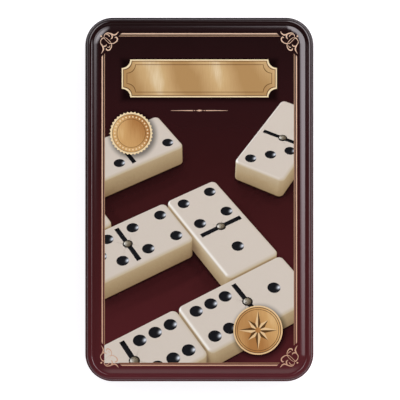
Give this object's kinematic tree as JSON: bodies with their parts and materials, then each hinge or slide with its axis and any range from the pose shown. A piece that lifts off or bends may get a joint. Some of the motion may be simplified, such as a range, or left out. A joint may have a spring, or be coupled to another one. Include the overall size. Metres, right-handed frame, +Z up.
{
  "type": "domino storage tin",
  "caption": "Flat rectangular tinplate box with round corners and a slip-on lid, holding domino tiles with brass spinners in a two-pocket plastic tray.",
  "frame": {"origin": "middle of the face the tin stands on, under the middle of the closed tin", "axes": "+Z up through the lid, Y along the tin's long side, X across it"},
  "size_m": [0.1212, 0.1932, 0.029],
  "materials": {
    "lid_print": "glossy varnish over printed tinplate, dark brown to burgundy",
    "base_lacquer": "glossy burgundy lacquer on tinplate",
    "tray_plastic": "formed black plastic sheet, satin",
    "tile_ivory": "polished ivory resin with black painted pips",
    "spinner_brass": "polished"
  },
  "bodies": {
    "base": {"tin_base": "base_lacquer", "tray": "tray_plastic", "spinners": "spinner_brass", "domino_0_0": "tile_ivory", "domino_1_0": "tile_ivory", "domino_1_1": "tile_ivory", "domino_2_0": "tile_ivory", "domino_2_1": "tile_ivory", "domino_2_2": "tile_ivory", "domino_3_0": "tile_ivory", "domino_3_1": "tile_ivory", "domino_3_2": "tile_ivory", "domino_3_3": "tile_ivory", "domino_4_0": "tile_ivory", "domino_4_1": "tile_ivory", "domino_4_2": "tile_ivory", "domino_4_3": "tile_ivory", "domino_4_4": "tile_ivory", "domino_5_0": "tile_ivory", "domino_5_1": "tile_ivory", "domino_5_2": "tile_ivory", "domino_5_3": "tile_ivory", "domino_5_4": "tile_ivory", "domino_5_5": "tile_ivory", "domino_6_0": "tile_ivory", "domino_6_1": "tile_ivory", "domino_6_2": "tile_ivory", "domino_6_3": "tile_ivory", "domino_6_4": "tile_ivory", "domino_6_5": "tile_ivory", "domino_6_6": "tile_ivory"},
    "lid": {"tin_lid": "lid_print"}
  },
  "joints": [
    {"name": "lid_lift", "type": "slide", "parent": "base", "child": "lid", "axis": [0, 0, 1], "range_m": [0, 0.06]}
  ]
}
